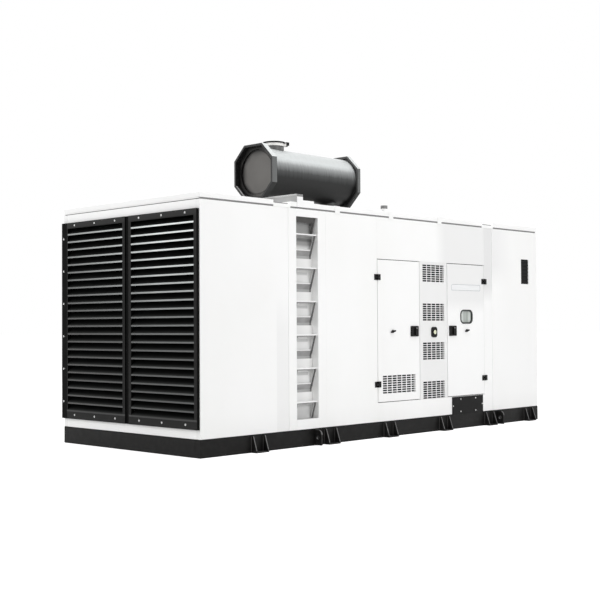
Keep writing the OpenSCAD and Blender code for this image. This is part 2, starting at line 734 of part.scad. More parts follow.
module muffler_outlet() color(steel) at_outlet() difference() {
    union() {
        cylinder(r = outlet_r, h = outlet_top);
        translate([0, 0, outlet_top - band_h]) cylinder(r = outlet_r + 2, h = band_h);
        for (y = [-arm_w / 2 - 2 - ear_t, arm_w / 2 + 2]) translate([0, y, outlet_top]) along_y(ear_t)
            polygon([
                [outlet_r - 2, -band_h], [cap_pin_x + 8, -band_h], [cap_pin_x + 8, 16],
                [cap_pin_x - 9, 16], [cap_pin_x - 9, -3], [outlet_r - 2, -3]
            ]);
        cap_pin(pin_r, arm_w + 4 + 2 * ear_t);
    }
    translate([0, 0, -1]) cylinder(r = outlet_r - 5, h = outlet_top + 30);
    rotate([0, 0, -cap_turn]) disc(-2 * outlet_r, drum_r, 4 * outlet_r);
}
// Flap over the outlet, carried by an arm with a small counterweight beyond the pin
module rain_cap() color(steel) at_outlet() difference() {
    union() {
        translate([0, 0, outlet_top + touch]) rotate_extrude() polygon([
            [0, 0], [outlet_r + flap_lap, 0], [outlet_r + flap_lap, flap_t], [0, flap_t + flap_rise]
        ]);
        translate([-outlet_r / 2, -arm_w / 2, outlet_top + 4])
            cube([cap_pin_x + outlet_r / 2 + weight_end, arm_w, 10]);
        cap_pin(9, arm_w);
        translate([cap_pin_x + 8, -arm_w / 2, outlet_top - 24]) cube([weight_end - 8, arm_w, 38]);
    }
    cap_pin(pin_r + pin_play, 2 * arm_w);
}

base_rails();
base_end_beams();
deck_plate();
anchor_feet();
lifting_lugs();
cable_entry_cover();
front_louvres();
rear_louvres();
louvre_mullions();
end_wall_strips();
radiator_side_panels();
lifting_posts();
ladder_jambs();
ladder_pans();
ladder_steps();
middle_side_panels();
door_headers();
door_sills();
vent_panels();
control_side_panels();
control_panel_grilles();
door_1_leaf();
door_1_hinge_straps();
door_1_latch();
door_2_leaf();
door_2_hinge_straps();
door_2_latch();
window_frame();
window_glass();
name_plate();
hinge_brackets();
far_doors();
far_door_hardware();
stop_button();
roof_panels();
roof_seam_strips();
roof_curb();
roof_breather();
muffler_drum();
muffler_end_frames();
muffler_end_plates();
muffler_stands();
muffler_inlet();
muffler_outlet();
rain_cap();
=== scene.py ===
"""Looks of the diesel generator: materials, small fittings, light and camera.

Everything is in metres. +X runs from the louvre end to the control end, -Y is the
door side and Z = 0 is the floor.
"""

import math

import bmesh
import bpy
from mathutils import Matrix, Vector

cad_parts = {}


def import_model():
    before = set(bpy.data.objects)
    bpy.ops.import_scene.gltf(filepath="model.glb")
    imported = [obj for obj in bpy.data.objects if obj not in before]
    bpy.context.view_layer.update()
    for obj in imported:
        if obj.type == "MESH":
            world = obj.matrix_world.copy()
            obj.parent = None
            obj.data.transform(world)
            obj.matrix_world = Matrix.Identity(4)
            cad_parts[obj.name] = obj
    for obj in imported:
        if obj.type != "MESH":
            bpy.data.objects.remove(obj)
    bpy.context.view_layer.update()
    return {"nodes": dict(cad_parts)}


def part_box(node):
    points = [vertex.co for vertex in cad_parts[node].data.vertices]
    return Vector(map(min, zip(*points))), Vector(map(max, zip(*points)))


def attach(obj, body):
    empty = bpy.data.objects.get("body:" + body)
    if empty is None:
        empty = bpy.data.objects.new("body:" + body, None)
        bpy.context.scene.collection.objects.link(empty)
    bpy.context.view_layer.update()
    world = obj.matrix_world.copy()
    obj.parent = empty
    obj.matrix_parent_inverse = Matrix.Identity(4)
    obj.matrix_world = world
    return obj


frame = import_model()
NODES = frame["nodes"]

# ------------------------------------------------------------------ places from the frame
HALF_L, HALF_W, BASE_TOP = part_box("deck_plate")[1]
WALL_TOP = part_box("door_headers")[1].z
ROOF_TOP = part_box("roof_panels")[1].z
END_WALL_T = 0.060
SKIN = 0.029                   # depth of the white coat on the walls; the lining starts behind it
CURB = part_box("roof_curb")

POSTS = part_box("lifting_posts")
POST_HALF = 0.089              # half the width of a lifting post
POST_MIDDLES = (POSTS[0].x + POST_HALF, POSTS[1].x - POST_HALF)
NOTCH_FLOOR = 0.038            # height of the floor of the roof's notches over the posts

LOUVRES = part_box("front_louvres")
LOUVRE_FACE = abs(LOUVRES[0].x)
STILE_W = 0.042
BOTTOM_RAIL = 0.096
TOP_RAIL = 0.064
BLADE_PITCH = 0.084
LIP_H = 0.017
LIP_SETBACK = 0.004
MULLION_W = 0.062
CORNER_STRIP_W = 0.068

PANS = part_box("ladder_pans")
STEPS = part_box("ladder_steps")
TREAD_Z = 0.473                # top of the lowest tread
TREAD_PITCH = 0.357
STEP_FRONT = 0.018             # how far the treads stand back from the wall
STEP_SLOPE = 0.233 / 0.074     # fall of a step's sloping frame over its depth
STEP_GAP = 0.014               # gap beside a sloping frame
STEP_POST = 0.028              # width of a sloping frame's posts
# Painted shadows and painted light in the ladder's recess and on its steps, as shares of the treads'
# spacing (see between_treads)
TREAD_SHADOW = 0.815                  # middle of the painted shadow under a tread
LIT_UNDER_TREAD = 0.872             # from here to the next tread the pan is left lighter: painted light against the tread's shadow
FOOT_SHADOW = (0.262, 0.272, 0.36)    # painted shadow behind the sloping frames' feet: fades in, then ends
LIT_EDGE = (0.507, 0.56)     # white upper edge of the painted shade on the sloping frames: painted light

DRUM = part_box("muffler_drum")
DRUM_Z = (DRUM[0].z + DRUM[1].z) / 2
DRUM_R = 0.292
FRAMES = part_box("muffler_end_frames")
# Inner side of the muffler's frames: half its width, and the sum |y| + |z| along a chamfer
FRAME_INNER = 0.294
FRAME_CORNER = 0.431
SQRT_HALF = 0.7071
OUTLET_H = 0.072               # height of the outlet over the drum, with its band
OUTLET_BAND = 0.036
FAR_END_SHADE = (0.052, 0.038)         # where the painted shade round the drum's far end starts and is full, from its far end


# ------------------------------------------------------------------ node graphs
class Graph:
    """The nodes of a material or of a world, and a short way to write them."""

    def __init__(self, name, world=None):
        self.owner = bpy.data.materials.new(name) if world is None else world
        self.owner.use_nodes = True
        self.tree = self.owner.node_tree
        self.tree.nodes.clear()
        if world is None:
            coords = self.put("TexCoord", {}).outputs
            self.place, self.normal = coords["Object"], coords["Normal"]

    def put(self, kind, inputs, **settings):
        """A new node; each input is a constant or another node's output."""
        node = self.tree.nodes.new("ShaderNode" + kind)
        for name, value in settings.items():
            setattr(node, name, value)
        for key, value in inputs.items():
            if isinstance(value, bpy.types.NodeSocket):
                self.tree.links.new(value, node.inputs[key])
            else:
                node.inputs[key].default_value = value
        return node

    def noise(self, scale, detail=3.0, stretch=(1, 1, 1), rough=0.5):
        vector = self.put("Mapping", {"Vector": self.place, "Scale": stretch}).outputs[0]
        inputs = {"Vector": vector, "Scale": scale, "Detail": detail, "Roughness": rough}
        return self.put("TexNoise", inputs).outputs[0]

    def cells(self, scale):
        """Distance from the middles of scattered cells."""
        return self.put("TexVoronoi", {"Vector": self.place, "Scale": scale}).outputs[0]

    def span(self, value, low, high, to_low=0.0, to_high=1.0):
        """Rises from to_low to to_high while the value goes from low to high."""
        inputs = {0: value, 1: low, 2: high, 3: to_low, 4: to_high}
        return self.put("MapRange", inputs, clamp=True).outputs[0]

    def math(self, operation, a, b=0.0):
        return self.put("Math", {0: a, 1: b}, operation=operation).outputs[0]

    def times(self, first, *others):
        """Product of values or masks."""
        for other in others:
            first = self.math("MULTIPLY", first, other)
        return first

    def minus(self, a, b):
        return self.math("SUBTRACT", a, b)

    def larger(self, a, b):
        return self.math("MAXIMUM", a, b)

    def abs(self, value):
        return self.math("ABSOLUTE", value)

    def below(self, value, limit):
        return self.math("LESS_THAN", value, limit)

    def above(self, value, limit):
        return self.math("GREATER_THAN", value, limit)

    def axes(self, vector):
        return self.put("SeparateXYZ", {0: vector}).outputs

    def mix(self, factor, a, b):
        """Colour a where the factor is 0, b where it is 1."""
        inputs = {0: factor, 6: socket_colour(a), 7: socket_colour(b)}
        return self.put("Mix", inputs, data_type="RGBA").outputs[2]

    def ramp(self, value, stops, hue=(1, 1, 0.99)):
        """Colour by value; stops are (position, tone)."""
        band = self.put("ValToRGB", {0: value})
        elements = band.color_ramp.elements
        while len(elements) < len(stops):
            elements.new(0.5)
        for element, (at, tone) in zip(elements, stops):
            element.position = at
            element.color = (*tint(tone, *hue), 1.0)
        return band.outputs[0]

    def bump(self, height, strength, distance):
        return self.put("Bump", {"Height": height, "Strength": strength, "Distance": distance}).outputs[0]

    def finish(self, colour, roughness, normal=None, **constants):
        """Ends the material; the constants are other inputs of its shader."""
        inputs = {"Base Color": socket_colour(colour), "Roughness": roughness}
        if normal is not None:
            inputs["Normal"] = normal
        for name, value in constants.items():
            inputs[name.replace("_", " ")] = value
        shader = self.put("BsdfPrincipled", inputs)
        self.put("OutputMaterial", {"Surface": shader.outputs[0]})
        return self.owner


def socket_colour(colour):
    """What a colour input takes: another node's output, or a colour with alpha 1."""
    return colour if isinstance(colour, bpy.types.NodeSocket) else (*colour, 1.0)


def tint(value, red=1.0, green=1.0, blue=1.0):
    """Linear colour of a grey sRGB tone from 0 to 255, with its channels scaled."""
    c = value / 255
    c = c / 12.92 if c <= 0.04045 else ((c + 0.055) / 1.055) ** 2.4
    return (c * red, c * green, c * blue)


# ------------------------------------------------------------------ materials
def orange_peel(g, strength=0.08):
    """The fine ripple of powder coat."""
    return g.bump(g.noise(420, 2), strength, 0.0004)


def soft_shade(g, x, z):
    """How strong the painted shade on the wall is: high up towards the control end, on door 2 and on both
    posts.
    """
    low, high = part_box("door_2_leaf")
    amount = 0.6
    shade = g.times(g.span(x, 0.75, 0.95), g.span(z, 1.75, 2.05), g.span(x, 2.0, 2.4, amount, 0.0))
    leaf = g.times(g.above(x, low.x - 0.01), g.below(x, high.x + 0.005), g.span(z, 1.42, 1.6, 0.0, amount))
    shade = g.larger(shade, leaf)
    for middle, heights in ((POST_MIDDLES[0], (1.2, 1.6, 0.36, 0.0)), (POST_MIDDLES[1], (1.56, 1.76))):
        post = g.times(g.above(x, middle - POST_HALF), g.below(x, middle + POST_HALF))
        shade = g.larger(shade, g.times(post, g.span(z, *heights)))
    return shade


def white_coat(name, lining=None, tones=(246, 250)):
    """White powder coat with faint dust, and painted shade on the walls; inside the canopy the panels are
    lined.
    """
    g = Graph(name)
    x, y, z = g.axes(g.place)
    cloud = g.span(g.noise(0.9, 4, (1, 1, 0.6)), 0.35, 0.7)
    colour = g.mix(cloud, tint(tones[0], 1, 1, 0.99), tint(tones[1]))
    dust = g.times(g.span(z, BASE_TOP, BASE_TOP + 0.22, 1, 0), g.noise(9, 5, (1, 1, 0.35)))
    colour = g.mix(g.times(dust, 0.10), colour, tint(176, 1.02, 1, 0.94))
    roughness = g.span(g.noise(7, 3), 0.3, 0.7, 0.34, 0.44)
    if lining is wall_lining:
        # painted shade, high up towards the control end, on door 2 and on the posts
        colour = g.mix(soft_shade(g, x, z), colour, tint(229))
    if lining:
        inside = lining(g, x, y, z)
        foam = g.span(g.cells(70.0), 0.05, 0.5)
        colour = g.mix(inside, colour, g.mix(foam, tint(22), tint(46)))
        roughness = g.larger(roughness, g.times(inside, 0.95))
    return g.finish(colour, roughness, orange_peel(g), Specular_IOR_Level=0.42)


def wall_lining(g, x, y, z):
    """Where the walls and the door leaves face inwards."""
    return g.times(g.below(g.abs(y), HALF_W - SKIN), g.below(g.abs(x), HALF_L - 0.0005))


def end_lining(g, x, y, z):
    """Where the end walls face inwards."""
    return g.below(g.abs(x), HALF_L - END_WALL_T + 0.001)


def roof_lining(g, x, y, z):
    """The roof's underside, between the walls."""
    margin = 0.045
    down = g.below(g.axes(g.normal)[2], -0.5)
    return g.times(down, g.below(z, WALL_TOP + 0.004), g.below(g.abs(y), HALF_W - margin),
                   g.below(g.abs(x), HALF_L - margin))


def between_treads(g, z):
    """A height as a share of the treads' spacing: 0 on a tread's top, 1 under the next one."""
    return g.math("FRACT", g.math("DIVIDE", g.minus(z, TREAD_Z), TREAD_PITCH))


def step_coat():
    """The steps: white treads with worn spots, and painted shade on the faces turned down, darkest on the
    sloping frames' posts.
    """
    g = Graph("step_coat")
    x, _, z = g.axes(g.place)
    nz = g.axes(g.normal)[2]
    cloud = g.span(g.noise(6, 5, (1, 1, 2)), 0.3, 0.7)
    worn = g.mix(g.times(g.span(g.noise(22, 5), 0.45, 0.75), 0.2), tint(246), tint(190))
    # painted shade on the faces turned downwards: the undersides and the sloping frames
    downward_shade = g.mix(cloud, tint(126, 1.01), tint(152, 1.01))
    share = between_treads(g, z)
    lit_edge = g.times(g.above(share, LIT_EDGE[0]), g.below(share, LIT_EDGE[1]))
    downward_shade = g.mix(lit_edge, downward_shade, tint(232))
    # darker painted shade on the sloping frames' posts
    post = g.above(x, STEPS[1].x - STEP_GAP - STEP_POST - 0.002)
    downward_shade = g.mix(post, downward_shade, g.mix(cloud, tint(74), tint(92)))
    colour = g.mix(g.below(nz, -0.2), worn, downward_shade)
    return g.finish(colour, g.span(cloud, 0, 1, 0.38, 0.5), orange_peel(g), Specular_IOR_Level=0.4)


# Painted shade in the ladder's recess by height, darkest under the header, with bands of painted shadow
# under the top tread: tones over the range on the next line
SHADE_Z = (2.05, 2.45)
SHADE_TONES = ((0.0, 248), (0.12, 234), (0.145, 226), (0.171, 207), (0.197, 195), (0.223, 170),
              (0.248, 155), (0.30, 156), (0.326, 138), (0.352, 114), (0.377, 118), (0.403, 138),
              (0.429, 186), (0.455, 192), (0.50, 170), (0.54, 160), (0.78, 154), (0.84, 112),
              (0.96, 108), (1.0, 104))


def pan_coat():
    """The ladder's recess: white, with painted shade at its top and towards the louvre end, painted shadows
    of the steps, and darker near its bottom.
    """
    g = Graph("pan_coat")
    low, high = PANS
    x, y, z = g.axes(g.place)
    # painted shade towards the top of the recess, with a wavy edge
    ripple = g.times(g.minus(g.noise(5, 4, (1, 1, 0.5)), 0.5), 0.012)
    top_shade = g.ramp(g.span(g.math("ADD", z, ripple), *SHADE_Z), SHADE_TONES)
    share = between_treads(g, z)
    not_under_tread = g.below(share, LIT_UNDER_TREAD)
    # painted shade over the lower recess, strongest towards the louvre end, left off just under the treads
    recess_shade = g.times(g.span(x, low.x + 0.05, high.x - 0.06, 0.8, 0.2), g.below(z, SHADE_Z[0] + 0.02), not_under_tread)
    colour = g.mix(recess_shade, top_shade, tint(214))
    over_first = g.above(z, TREAD_Z + 0.027)
    # painted shadow of each tread on the recess, a short way under it
    tread_shadow = g.times(g.span(g.abs(g.minus(share, TREAD_SHADOW)), 0.055, 0.03),
                    over_first, g.below(z, 1.9), g.below(x, high.x - 0.07))
    colour = g.mix(g.times(tread_shadow, 0.8), colour, tint(192))
    # painted shadow behind the sloping frames' feet, darker under the posts
    start, full, end = FOOT_SHADOW
    foot_shadow = g.times(g.span(share, start, full), g.below(share, end), over_first,
                   g.below(x, high.x - STEP_GAP))
    under_post = g.above(x, high.x - STEP_GAP - STEP_POST)
    colour = g.mix(foot_shadow, colour, g.mix(under_post, tint(164), tint(112)))
    foot = g.span(z, low.z + 0.34, low.z + 0.18)
    colour = g.mix(g.times(foot, 0.45), colour, tint(160))
    wall = g.mix(g.span(g.noise(0.9, 4), 0.35, 0.7), tint(246), tint(250))
    deep = g.below(g.abs(y), HALF_W - 0.002)
    return g.finish(g.mix(deep, wall, colour), 0.42, orange_peel(g), Specular_IOR_Level=0.35)


def curb_coat():
    """The roof curb: painted shade on its faces towards the louvre end, darkest under the muffler and
    lighter along their top edge; the tops of its sides are darker.
    """
    g = Graph("curb_coat")
    _, y, z = g.axes(g.place)
    nx, ny, _ = g.axes(g.normal)
    cloud = g.span(g.noise(5, 4), 0.3, 0.7)
    # painted shade on the faces towards the louvre end: darkest in the middle under the muffler, lighter
    # along the top edge
    lit = g.span(g.abs(y), HALF_W - 0.55, HALF_W - 0.28, 0.25, 1.0)
    lip_h, cap_h = 0.005, 0.026
    lip = g.above(z, CURB[1].z - lip_h)
    front = g.mix(lit, tint(56), g.mix(lip, g.mix(cloud, tint(150), tint(172)), tint(226)))
    colour = g.mix(g.below(nx, -0.5), g.mix(cloud, tint(244), tint(249)), front)
    cap = g.times(g.above(g.abs(ny), 0.5), g.above(z, CURB[1].z - cap_h))
    colour = g.mix(cap, colour, tint(132))
    return g.finish(colour, g.span(cloud, 0, 1, 0.36, 0.46), orange_peel(g), Specular_IOR_Level=0.42)


def breather_coat():
    """A white stem under a weathered grey cap."""
    g = Graph("breather_coat")
    cap_h = 0.0405
    z = g.axes(g.place)[2]
    cloud = g.span(g.noise(14, 4), 0.3, 0.7)
    cap = g.above(z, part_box("roof_breather")[1].z - cap_h)
    colour = g.mix(cap, g.mix(cloud, tint(240), tint(248)), g.mix(cloud, tint(104), tint(128)))
    return g.finish(colour, g.span(cloud, 0, 1, 0.4, 0.5), orange_peel(g), Specular_IOR_Level=0.3)


def speckle(g):
    """Small flecks of dust on black paint."""
    return g.span(g.noise(16, 6, rough=0.65), 0.45, 0.75)


def black_coat(name, tone, dust=0.25, rough=0.42, shine=0.14):
    """Satin black paint, a little greyer where dust settles."""
    g = Graph(name)
    nz = g.axes(g.normal)[2]
    settled = g.larger(g.times(g.span(nz, 0.3, 0.95), 0.7), g.times(speckle(g), dust))
    colour = g.mix(settled, tint(tone, 1, 0.97, 0.95), tint(tone + 26, 1.02, 1, 0.95))
    roughness = g.span(g.noise(11, 4), 0.3, 0.7, rough - 0.05, rough + 0.08)
    return g.finish(colour, roughness, orange_peel(g, 0.10), Specular_IOR_Level=shine)


def foot_coat():
    """Feet and lugs: painted highlights on their slanted and upper edges."""
    g = Graph("foot_coat")
    _, ny, nz = g.axes(g.normal)
    speck = speckle(g)
    # painted highlight on the slanted and upper edges
    edge = g.times(g.above(g.abs(ny), 0.5), g.above(nz, 0.05))
    colour = g.mix(g.times(speck, 0.25), tint(24, 1, 0.97, 0.95), tint(50))
    colour = g.mix(edge, colour, g.mix(speck, tint(104), tint(140)))
    return g.finish(colour, 0.44, orange_peel(g), Specular_IOR_Level=0.14)


# Tones of the louvres' outer frames, from the bottom up
FRAME_FACE_TONES = ((0, 46), (0.06, 42), (0.5, 37), (0.94, 44), (0.972, 46), (0.976, 52), (1, 58))


def louvre_coat():
    """Black powder coat: a dark grey outer frame, and blades with painted shade towards their roots and
    painted light towards their lips.
    """
    g = Graph("louvre_coat")
    x, y, z = g.axes(g.place)
    _, ny, nz = g.axes(g.normal)
    root, edge = HALF_L + 0.004, HALF_L + 0.031         # range over which the painted light on a blade rises outwards
    frame_start, frame_full = HALF_L + 0.0325, HALF_L + 0.0355
    out = g.abs(x)
    height = g.span(z, LOUVRES[0].z, LOUVRES[1].z)
    outer = g.ramp(height, FRAME_FACE_TONES)
    # the bottom rail's upper edge is painted paler: a painted highlight, like the lips'
    rail_top = LOUVRES[0].z + BOTTOM_RAIL
    rail = g.times(g.above(z, rail_top - LIP_H), g.below(z, rail_top + 0.001))
    outer = g.mix(g.times(rail, 0.8), outer, tint(82))
    outer = g.mix(g.above(y, LOUVRES[1].y - STILE_W * 0.7), outer, tint(7))
    outer = g.mix(g.below(ny, -0.5), outer, tint(42))
    # painted light on the blades' upper faces, rising towards their lips, weaker on the higher blades
    lit = g.math("POWER", g.span(out, root, edge), 1.6)
    lit = g.times(lit, g.span(height, 0.45, 0.75, 1.0, 0.3), g.above(nz, 0.3))
    blade = g.mix(lit, tint(8, 0.95, 1.03, 0.98), tint(50, 0.97, 1.02, 0.98))
    colour = g.mix(g.span(out, frame_start, frame_full), blade, outer)
    grime = g.span(g.noise(5, 5, (1, 1, 3)), 0.35, 0.7)
    colour = g.mix(g.times(grime, 0.03), colour, tint(70))
    roughness = g.span(g.noise(11, 4), 0.3, 0.7, 0.46, 0.58)
    return g.finish(colour, roughness, orange_peel(g, 0.1), Specular_IOR_Level=0.03)


# Tones of the painted highlight on the blades' lips, from the lowest blade up
LIP_TONES = ((0.0, 66), (0.3, 78), (0.5, 116), (0.7, 196), (0.82, 236), (1.0, 250))


def lip_coat():
    """The rolled lips of the blades, with a painted highlight that is brightest near the top and the door
    side, and darker worn spots.
    """
    g = Graph("lip_coat")
    _, y, z = g.axes(g.place)
    height = g.span(z, LOUVRES[0].z + BOTTOM_RAIL, LOUVRES[1].z - TOP_RAIL)
    pale = g.ramp(height, LIP_TONES, (0.95, 1, 0.99))
    worn = g.span(g.noise(38, 5, (1, 1, 4), 0.6), 0.3, 0.75)
    colour = g.mix(g.times(worn, 0.14), pale, tint(80))
    # the painted highlight fades away from the door side, a little less on the highest blades
    away = g.math("POWER", g.span(y, -0.5, LOUVRES[1].y), 0.6)
    away = g.times(away, g.span(height, 0.75, 0.95, 0.84, 0.7))
    colour = g.mix(away, colour, tint(50, 1.04, 1, 0.96))
    return g.finish(colour, g.span(worn, 0, 1, 0.34, 0.5), orange_peel(g, 0.12), Specular_IOR_Level=0.4)


# Tones of the muffler by how far a surface is turned upwards, from 0 for down to 1 for up: painted
# highlight above, painted shade below
DRUM_TONES = ((0.0, 9), (0.22, 12), (0.38, 25), (0.50, 66), (0.58, 116), (0.65, 150), (0.70, 188),
              (0.76, 204), (0.88, 192), (1.0, 190))
FRAME_TONES = ((0.0, 20), (0.3, 40), (0.5, 98), (0.7, 130), (0.8, 204), (1.0, 204))


def end_shade(g, y, z, low, high, blue):
    """Tone of a muffler end: painted shadow under its octagonal frame's far and upper sides.

    low and high are pairs of tones, for the dark sides and for the middle.
    """
    up = g.minus(z, DRUM_Z)
    gap = g.minus(FRAME_INNER, g.larger(up, y))
    corner = g.times(g.minus(FRAME_CORNER, g.math("ADD", y, g.abs(up))), SQRT_HALF)
    stops = ((0.0, low[0]), (0.4, low[1]), (0.75, high[0]), (1.0, high[1]))
    return g.ramp(g.span(g.math("MINIMUM", gap, corner), 0.0, 0.11), stops, (1.04, 1, blue))


def muffler_coat(name, tones, faces, shaded_far_end=False):
    """Grey heat-resistant paint, satin, with streaks and flecks: painted highlight above, painted shade
    below, on the ends and inside.

    faces holds the tones of the outer faces at the near and at the far end; the far end's are painted
    lighter, painted light.
    """
    g = Graph(name)
    x, y, z = g.axes(g.place)
    nx, ny, nz = g.axes(g.normal)
    streak = g.noise(7, 6, (6, 0.5, 0.5), 0.6)
    # painted highlight above and painted shade below, by how far a face turns upwards
    turned = g.math("ADD", nz, g.times(g.minus(streak, 0.5), 0.22))
    colour = g.ramp(g.span(turned, -1, 1), tones, (0.965, 1, 1))
    if shaded_far_end:
        # painted shade round the drum's far end
        far_end = g.span(x, DRUM[1].x - FAR_END_SHADE[0], DRUM[1].x - FAR_END_SHADE[1], 0.0, 0.8)
        colour = g.mix(far_end, colour, tint(58))
    # painted shade on the inner faces, with a painted highlight on the near frame's upper front edge
    outward = g.math("ADD", g.times(ny, y), g.times(nz, g.minus(z, DRUM_Z)))
    front_edge = g.times(g.above(nz, 0.5), g.below(ny, -0.5), g.below(x, FRAMES[0].x + 0.02))
    inner = g.mix(front_edge, tint(20), tint(206))
    colour = g.mix(g.below(outward, -0.001), colour, inner)
    # painted shadow on the drum's near end; painted shade and light on the outer faces towards the louvre
    # end
    drum_end = end_shade(g, y, z, (22, 40), (74, 88), 0.945)
    near_face = g.mix(g.below(x, DRUM[0].x - 0.001), drum_end, tint(faces[0]))
    far = g.span(x, DRUM[0].x + 0.3, DRUM[1].x - 0.1)
    colour = g.mix(g.below(nx, -0.6), colour, g.mix(far, near_face, tint(faces[1])))
    fleck = g.span(g.noise(60, 4), 0.55, 0.75)
    colour = g.mix(g.times(fleck, 0.10), colour, tint(50))
    roughness = g.span(streak, 0.3, 0.7, 0.34, 0.46)
    return g.finish(colour, roughness, orange_peel(g, 0.15), Metallic=0.15, Specular_IOR_Level=0.3)


def end_plate_coat():
    """The muffler's round end plates, in a warm and cloudy grey with painted shadow under the frames' far
    and upper sides.
    """
    g = Graph("end_plate_coat")
    _, y, z = g.axes(g.place)
    cloud = g.span(g.noise(3.2, 5), 0.3, 0.7)
    colour = g.mix(cloud, end_shade(g, y, z, (22, 40), (76, 88), 0.94),
                   end_shade(g, y, z, (26, 46), (86, 100), 0.95))
    return g.finish(colour, g.span(cloud, 0, 1, 0.45, 0.6), orange_peel(g, 0.15), Metallic=0.2)


def outlet_coat():
    """The outlet pipe: grey, dark just under a pale band at its top, with dark ears on the band."""
    g = Graph("outlet_coat")
    x, _, z = g.axes(g.place)
    cloud = g.span(g.noise(30, 4, (1, 1, 0.15)), 0.3, 0.7)
    band_z = DRUM_Z + DRUM_R + OUTLET_H - OUTLET_BAND
    pipe = g.mix(cloud, tint(84, 1, 1, 0.98), tint(110, 1, 1, 0.98))
    pipe = g.mix(g.span(z, band_z - 0.014, band_z - 0.006), pipe, tint(24))
    band = g.mix(cloud, tint(222, 1.01, 1, 0.97), tint(240, 1.01, 1, 0.98))
    ear_w = 0.035
    ears = g.above(x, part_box("muffler_outlet")[1].x - ear_w)
    colour = g.mix(g.above(z, band_z), pipe, g.mix(ears, band, tint(20)))
    return g.finish(colour, 0.4, orange_peel(g, 0.15), Metallic=0.1)


def window_seal():
    """Dark rubber with a green cast."""
    g = Graph("window_seal")
    grain = g.noise(260, 3)
    colour = g.mix(g.span(grain, 0.35, 0.65), tint(46, 0.94, 1.03, 0.98), tint(58, 0.94, 1.03, 0.98))
    return g.finish(colour, 0.62, g.bump(grain, 0.15, 0.0004), Specular_IOR_Level=0.35)


def tinted_glass():
    """Pale green safety glass with painted reflections: soft upright streaks, darker along its middle."""
    g = Graph("tinted_glass")
    low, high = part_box("window_glass")
    x = g.axes(g.place)[0]
    middle = g.abs(g.minus(x, (low.x + high.x) / 2 + 0.01))
    streak = g.minus(g.noise(7, 3, (2.2, 1, 0.3)), g.span(middle, 0.02, 0.07, 0.25, 0))
    streak = g.span(streak, 0.2, 0.62)
    colour = g.mix(streak, tint(178, 0.93, 1.02, 0.95), tint(232, 0.96, 1.02, 0.98))
    return g.finish(colour, g.span(streak, 0, 1, 0.06, 0.12), Transmission_Weight=0.15, IOR=1.5)


def bare_plate():
    """Brushed blank plate under clear lacquer."""
    g = Graph("bare_plate")
    brushed = g.noise(55, 5, (0.12, 1, 6), 0.6)
    colour = g.mix(g.span(brushed, 0.3, 0.7), tint(232, 0.99, 1, 1.01), tint(244, 0.99, 1, 1.01))
    return g.finish(colour, 0.38, g.bump(brushed, 0.05, 0.0003), Metallic=0.1)


def plate_rim():
    """Cool grey paint of the name plate's rim."""
    g = Graph("plate_rim")
    cloud = g.span(g.noise(40, 3), 0.3, 0.7)
    colour = g.mix(cloud, tint(166, 0.98, 0.99, 1.03), tint(186, 0.98, 0.99, 1.03))
    return g.finish(colour, 0.4, orange_peel(g))


def button_plastic():
    """Black moulded surround and a pale yellow mushroom head."""
    g = Graph("button_plastic")
    head_depth = 0.0075
    y = g.axes(g.place)[1]
    grain = g.noise(180, 3)
    cloud = g.span(grain, 0.35, 0.65)
    body = g.mix(cloud, tint(6), tint(14))
    head = g.mix(cloud, (0.72, 0.73, 0.53), (0.82, 0.83, 0.63))
    colour = g.mix(g.below(y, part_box("stop_button")[0].y + head_depth), body, head)
    return g.finish(colour, 0.4, g.bump(grain, 0.08, 0.0003), Specular_IOR_Level=0.15)


def zinc(name, tone):
    """Plated steel with a fine spangle."""
    g = Graph(name)
    spangle = g.span(g.cells(240.0), 0.1, 0.7)
    colour = g.mix(spangle, tint(tone, 1, 1, 0.98), tint(tone + 24, 1, 1, 0.99))
    return g.finish(colour, g.span(spangle, 0, 1, 0.28, 0.42), orange_peel(g), Metallic=0.55)


def shadow_strip_coat():
    """Grey with a fine grain: painted shade for the shadow under the roof's edge."""
    g = Graph("shadow_strip")
    grain = g.noise(200, 3)
    colour = g.mix(g.span(grain, 0.35, 0.65), tint(116), tint(134))
    return g.finish(colour, 0.7, g.bump(grain, 0.2, 0.0004))


MATERIALS = {
    "wall": white_coat("wall_coat", wall_lining),
    # whiter than the walls: painted light on the end walls
    "end_wall": white_coat("end_wall_coat", end_lining, (252, 254)),
    "roof": white_coat("roof_coat", roof_lining),
    "white": white_coat("white_coat"),
    # greyer than the walls: painted shade on the vent panels
    "vents": white_coat("vent_panel_coat", wall_lining, (233, 238)),
    "steps": step_coat(),
    "pans": pan_coat(),
    # dark grey: painted shade on the sloping frames under the ladder's header
    "head": black_coat("ladder_head_shade_coat", 78, 0.2, 0.45),
    "weld": black_coat("weld_coat", 66, 0.3, 0.5),
    "curb": curb_coat(),
    "breather": breather_coat(),
    "base": black_coat("base_coat", 21, shine=0.10),
    "feet": foot_coat(),
    "cover": black_coat("cover_coat", 8, 0.12, shine=0.10),
    "hardware": black_coat("hardware_coat", 16, 0.2, 0.38),
    "grille": black_coat("grille_coat", 10, 0.1, 0.6),
    "louvre": louvre_coat(),
    "lip": lip_coat(),
    "muffler": muffler_coat("muffler_coat", DRUM_TONES, (26, 74), shaded_far_end=True),
    "muffler_frame": muffler_coat("muffler_frame_coat", FRAME_TONES, (52, 76)),
    "end_plate": end_plate_coat(),
    "outlet": outlet_coat(),
    "flap": black_coat("flap_coat", 14, 0.1, 0.6, shine=0.05),
    "seal": window_seal(),
    "glass": tinted_glass(),
    "plate": bare_plate(),
    "plate_rim": plate_rim(),
    "button": button_plastic(),
    "zinc": zinc("zinc", 205),
    "lock": zinc("lock_zinc", 120),
    "screw_white": white_coat("painted_screws"),
    "shadow_strip": shadow_strip_coat(),
}
